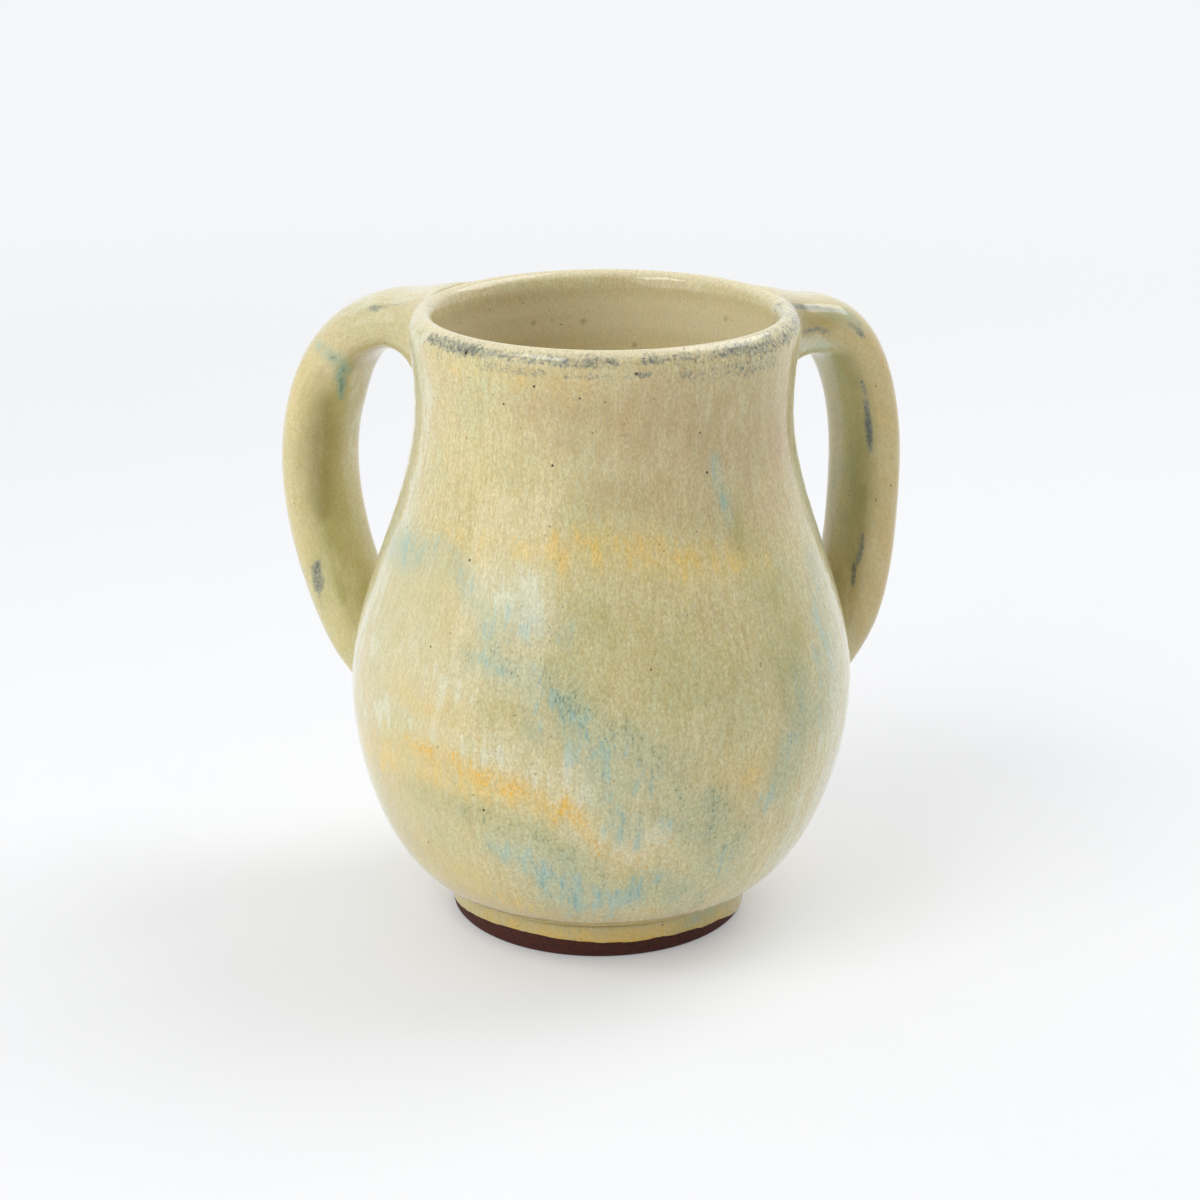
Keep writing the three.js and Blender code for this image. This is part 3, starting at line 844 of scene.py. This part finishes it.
def handle(name, shape, strokes, nodes):
    """A handle with the clay of its two roots, as one closed skin."""
    grid, degrees = handle_grid(shape)
    rows, around = grid.shape[:2]
    points = grid.reshape(-1, 3)
    half_width, half_thickness = HANDLE_WIDTH / 2, shape["thickness"] / 2
    turn = np.radians(shape["azimuth"])
    run = np.cumsum(np.concatenate([[0], np.linalg.norm(np.diff(grid.mean(1), axis=0), axis=1)]))
    run += shape["widest_run"] - run[np.hypot(*grid.mean(1).T[:2]).argmax()]
    run = np.repeat(run, around)
    degrees = np.tile(degrees, rows)
    piece = make_piece(name, points, closed_faces(rows, around), GLAZE, "handle_glaze", *nodes)
    angle = np.radians(degrees)
    flow = np.stack([half_width * np.cos(angle), half_thickness * np.sin(angle) + turn * 100, run], 1)
    zero = np.zeros(len(points))
    scale = np.pi / 180 * (half_width + half_thickness) / 2
    painted = {k: paint(degrees, run, strokes.get(k, []), scale) + zero for k in PAINTS}
    # Painted highlight on the upper outer face of the strap, carried in the crest attribute
    painted["crest"] = 0.4 * smooth(np.sin(angle), 0.5, 1) * smooth(run, 45, 20)
    add_values(piece, flow=flow, bare=zero, calm=0.65 + zero, **painted)


PAINTS = ("ochre", "amber", "blue", "green", "pale", "tan", "olive", "indigo", "shade", "crest")
# Strokes on the handles: degrees round the strap, millimetres down it from the lip, half width
LEFT_STROKES = {
    "ochre": [(0.5, [(30, 30, 3), (28, 45, 3.5), (22, 60, 3), (12, 75, 2.5), (5, 90, 3)])],
    "tan": [(0.2, [(10, 5, 6), (0, 20, 6)]), (0.5, [(350, 32, 2), (348, 50, 2.5), (350, 70, 2)])],
    "olive": [
        (1.0, [(325, 36, 4), (318, 48, 5.5), (318, 62, 5.5), (325, 76, 4.5), (330, 86, 2.5)]),
        (0.8, [(308, 68, 5), (305, 80, 6.5), (308, 90, 6.5)]),
    ],
    # Painted shade on the strap's underside, where the body shades it, and under the upper root
    "shade": [
        (0.45, [(328, 38, 2.5), (320, 48, 4), (320, 58, 3.5), (322, 66, 2)]),
        (0.3, [(305, 12, 3), (300, 22, 3)]),
    ],
    "pale": [
        (0.8, [(80, 0, 7), (70, 24, 6)]),
        (0.6, [(262, 20, 5), (262, 56, 5)]),
        (0.5, [(50, 40, 4), (40, 80, 4)]),
    ],
    "blue": [
        (0.8, [(30, 27.2, 1), (0, 26.5, 1.4), (-20, 25.7, 1.8)]),
        (1.0, [(-20, 25.7, 2.2), (-38, 25.5, 2.6), (-52, 26, 1.6)]),
        (1.05, [(-38, 27, 2.4), (-52, 30.5, 1.5), (-60, 34.5, 0.8)]),
    ],
    "green": [
        (1.0, [(-5, 26.5, 1), (-25, 25.8, 1.6), (-45, 26.5, 1.6)]),
        (1.0, [(-40, 27, 1.8), (-54, 31, 1.1), (-60, 34.5, 0.6)]),
        (0.5, [(-2, 75, 2.5), (5, 82, 2.5)]),
    ],
    "indigo": [
        (0.9, [(36, 10.5, 0.5), (34, 13, 0.9)]),
        (0.4, [(44, 4, 0.4), (38, 10, 0.4)]),
        (1.1, [(-3, 75.5, 1), (2, 79, 1.3)]),
        (0.4, [(2, 79, 1), (14, 84, 0.7)]),
    ],
}
RIGHT_STROKES = {
    "ochre": [(0.5, [(165, 10, 4), (172, 30, 4), (178, 60, 4), (184, 80, 3)])],
    "tan": [(1.0, [(155, 0, 5), (160, 14, 4)]), (0.7, [(165, 20, 6), (172, 50, 6), (178, 80, 6)])],
    "olive": [
        (0.7, [(155, 0, 4), (160, 12, 3)]),
        (0.9, [(212, 18, 2.5), (214, 35, 3.2), (222, 50, 3.5), (222, 78, 3.2)]),
    ],
    # Painted shade along the strap's underside, and where the strap meets the lip
    "shade": [
        (0.28, [(212, 20, 1.6), (214, 40, 2.2), (222, 55, 2.4), (224, 74, 2)]),
        (0.25, [(150, 0, 4), (155, 9, 3)]),
    ],
    # The second pale stroke is painted light on the lower front of the root, by the neck
    "pale": [(0.6, [(90, 0, 6), (95, 20, 6)]), (1.0, [(190, 2, 1.6), (196, 7, 1.8), (210, 10.5, 1.6)])],
    "blue": [
        (0.9, [(143, 9, 1.6), (150, 13, 2.2), (158, 16, 1.6)]),
        (0.55, [(215, 10, 3), (252, 20, 5), (262, 45, 5), (258, 70, 4)]),
    ],
    "green": [(0.8, [(143, 10, 1.6), (152, 13.5, 2)]), (0.4, [(240, 20, 5), (255, 60, 5)])],
    "indigo": [
        (1.2, [(140, 0, 0.6), (136, 7.4, 0.6), (143, 11, 0.6)]),
        (0.9, [(173, 3, 0.35), (175, 7.4, 0.35), (183, 10.7, 0.35)]),
        (1.2, [(165, 14.5, 0.7), (166, 17.5, 0.7)]),
        (1.3, [(205, 28, 0.5), (206, 31, 0.6)]),
        (1.7, [(208, 33, 0.6), (210, 40.8, 0.9), (210, 45, 0.5)]),
        (1.7, [(215, 65, 0.4), (215, 69.6, 0.7), (223, 73.6, 0.5), (221, 78, 0.6)]),
    ],
}


# The room, in metres
FLOOR_RADIUS = 9.0
# Out to the first distance a share of the floor is plain backdrop, a painted glow that lightens the cup's
# shadow there, and beyond the second all of it
PLAIN_FLOOR = (0.2, 0.8)
PLAIN_SHARE = (0.3, 1.0)
PAPER = srgb(248, 248, 249)
BACKDROP = srgb(245, 246, 248)
DAYLIGHT = (0.97, 0.98, 1.0, 1.0)
# Azimuth of the darker side of the room, then the light from the other side and from that one
DARK_SIDE = -97
WORLD_LIGHT = (0.68, 0.27)
WORLD_IN_GLOSS = (1.0, 0.3)
# Lamps: name, azimuth and elevation from the middle of the cup, distance, size, power
LAMP_CENTRE = (0, 0, 0.06)
LAMPS = [
    ("window_right", 25, 53, 1.2, (0.75, 0.75), 5.4),
    ("window_left", -147, 28, 1.1, (1.0, 1.0), 4.8),
    ("lamp_left", -147, 55, 1.2, (0.5, 0.22), 2.2),
]


def floor():
    """Pale paper near the cup, which takes its shadow, lightened by a share of painted glow, and turns
    into plain backdrop further out.
    """
    material = bpy.data.materials.new("floor_paper")
    s = Shader(material)
    place = s.node("TexCoord").outputs["Object"]
    paper = s.mix(s.noise(place, 30, 3), PAPER, BACKDROP)
    away = s.node("VectorMath", {0: place}, operation="LENGTH").outputs["Value"]
    far = s.between(away, *PLAIN_FLOOR, *PLAIN_SHARE)
    seen = s.seen_directly()
    near_surface = s.node("BsdfDiffuse", {"Color": paper}).outputs[0]
    far_surface = s.node("Emission", {"Color": BACKDROP, "Strength": 1.0}).outputs[0]
    # Painted glow: near the cup this share of the floor glows and lightens the cup's shadow
    share = s.math("MULTIPLY", far, seen)
    surface = s.node("MixShader", {0: share, 1: near_surface, 2: far_surface}).outputs[0]
    s.node("OutputMaterial", {0: surface})
    mesh = bpy.data.meshes.new("floor")
    ring = around_axis(FLOOR_RADIUS, np.linspace(0, 2 * np.pi, 64, endpoint=False), np.zeros(64))
    mesh.from_pydata(ring.tolist(), [], [tuple(range(64))])
    mesh.materials.append(material)
    made = bpy.data.objects.new("floor", mesh)
    bpy.context.scene.collection.objects.link(made)


def daylight():
    """Soft light all round, weaker from one side, in front of a plain pale backdrop."""
    world = bpy.data.worlds.new("daylight")
    bpy.context.scene.world = world
    w = Shader(world)
    facing = np.radians(DARK_SIDE)
    direction = w.node("TexCoord").outputs["Generated"]
    toward = {0: direction, 1: (np.cos(facing), np.sin(facing), 0)}
    ahead = w.node("VectorMath", toward, operation="DOT_PRODUCT").outputs["Value"]
    strength = w.between(ahead, -0.3, 1.0, *WORLD_LIGHT)
    light = w.node("Background", {"Color": DAYLIGHT, "Strength": strength}).outputs[0]
    mirrored = w.between(ahead, -0.3, 0.9, *WORLD_IN_GLOSS)
    camera_ray = w.node("LightPath").outputs["Is Camera Ray"]
    strength = w.math("MAXIMUM", mirrored, camera_ray)
    backdrop = w.node("Background", {"Color": BACKDROP, "Strength": strength}).outputs[0]
    sky = w.node("MixShader", {0: w.seen_directly(), 1: light, 2: backdrop}).outputs[0]
    w.node("OutputWorld", {0: sky})


def lamps():
    """Broad lamps that face the cup."""
    for name, azimuth, elevation, distance, size, watts in LAMPS:
        data = bpy.data.lights.new(name, "AREA")
        data.shape = "RECTANGLE"
        data.size, data.size_y = size
        data.energy = watts
        lamp = bpy.data.objects.new(name, data)
        a, e = np.radians(azimuth), np.radians(elevation)
        at = distance * np.array([np.cos(e) * np.cos(a), np.cos(e) * np.sin(a), np.sin(e)])
        lamp.location = at + LAMP_CENTRE
        lamp.rotation_euler = (np.pi / 2 - e, 0, a + np.pi / 2)
        bpy.context.scene.collection.objects.link(lamp)


def camera():
    data = bpy.data.cameras.new("camera")
    data.lens = CAMERA_LENS
    data.sensor_width = CAMERA_SENSOR
    data.clip_start = CAMERA_CLIP_START
    made = bpy.data.objects.new("camera", data)
    made.location = CAMERA_AT
    made.rotation_euler = (np.radians(90 - CAMERA_PITCH), 0, np.radians(CAMERA_HEADING))
    bpy.context.scene.collection.objects.link(made)
    bpy.context.scene.camera = made


GLAZE = glaze("glaze")
body()
foot()
handle(
    "glazed_handle_left",
    LEFT_HANDLE,
    LEFT_STROKES,
    ("handle_left", "fillet_left_upper", "fillet_left_lower"),
)
handle(
    "glazed_handle_right",
    RIGHT_HANDLE,
    RIGHT_STROKES,
    ("handle_right", "fillet_right_upper", "fillet_right_lower"),
)
floor()
daylight()
lamps()
camera()
bpy.context.scene.view_settings.view_transform = "Standard"

bpy.context.view_layer.update()
